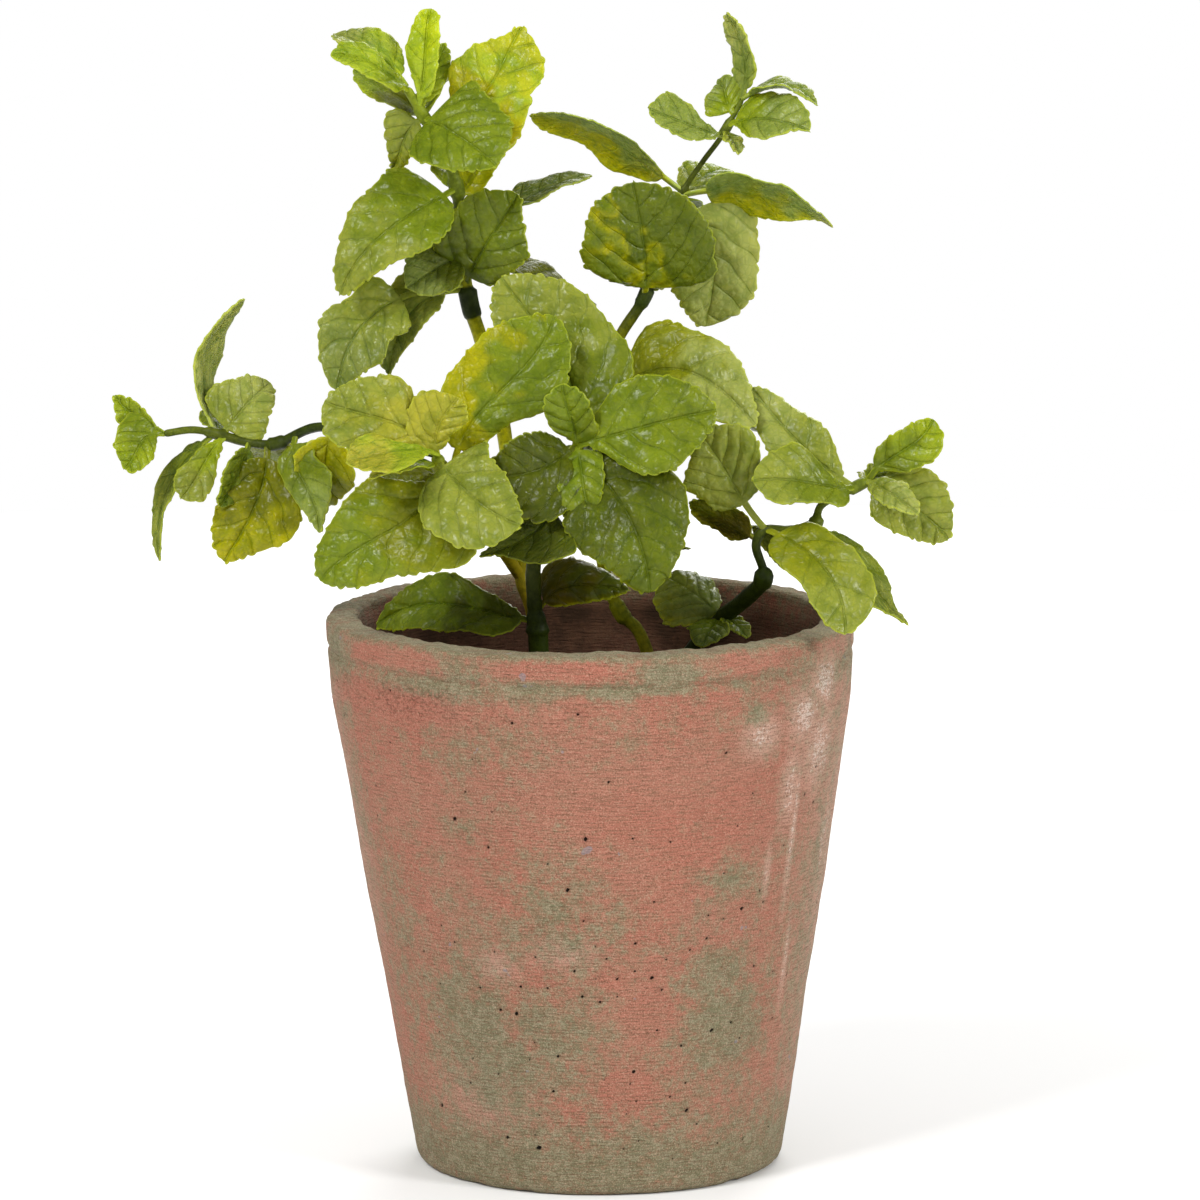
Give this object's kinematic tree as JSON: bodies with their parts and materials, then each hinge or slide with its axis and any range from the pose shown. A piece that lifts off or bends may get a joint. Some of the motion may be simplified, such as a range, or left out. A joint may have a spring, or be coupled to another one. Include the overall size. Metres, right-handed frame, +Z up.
{
  "type": "potted mint plant",
  "caption": "Decorative mint plant with toothed, veined leaves on leaning stems, standing in a tapered round pot of weathered cement.",
  "frame": {"origin": "the middle of the pot's flat underside, on the surface that it stands on", "axes": "+Z up, +X to the right and +Y to the back, seen from the plant's best side"},
  "size_m": [0.2064, 0.13, 0.2861],
  "materials": {
    "cement": "rough, salmon-pink and weathered, with a grey-green bloom, fine comb lines and pinholes",
    "filling": "rough, dark brown and dry",
    "foliage_green": "glossy moulded soft plastic, embossed with veins",
    "foliage_yellow_green": "glossy moulded soft plastic, embossed with veins",
    "foliage_grey_green": "glossy moulded soft plastic, embossed with veins"
  },
  "bodies": {
    "root": {"pot": "cement", "soil": "filling", "sprig_centre": "foliage_green", "sprig_left": "foliage_yellow_green", "sprig_tall_right": "foliage_grey_green", "sprig_right": "foliage_grey_green"}
  },
  "joints": []
}
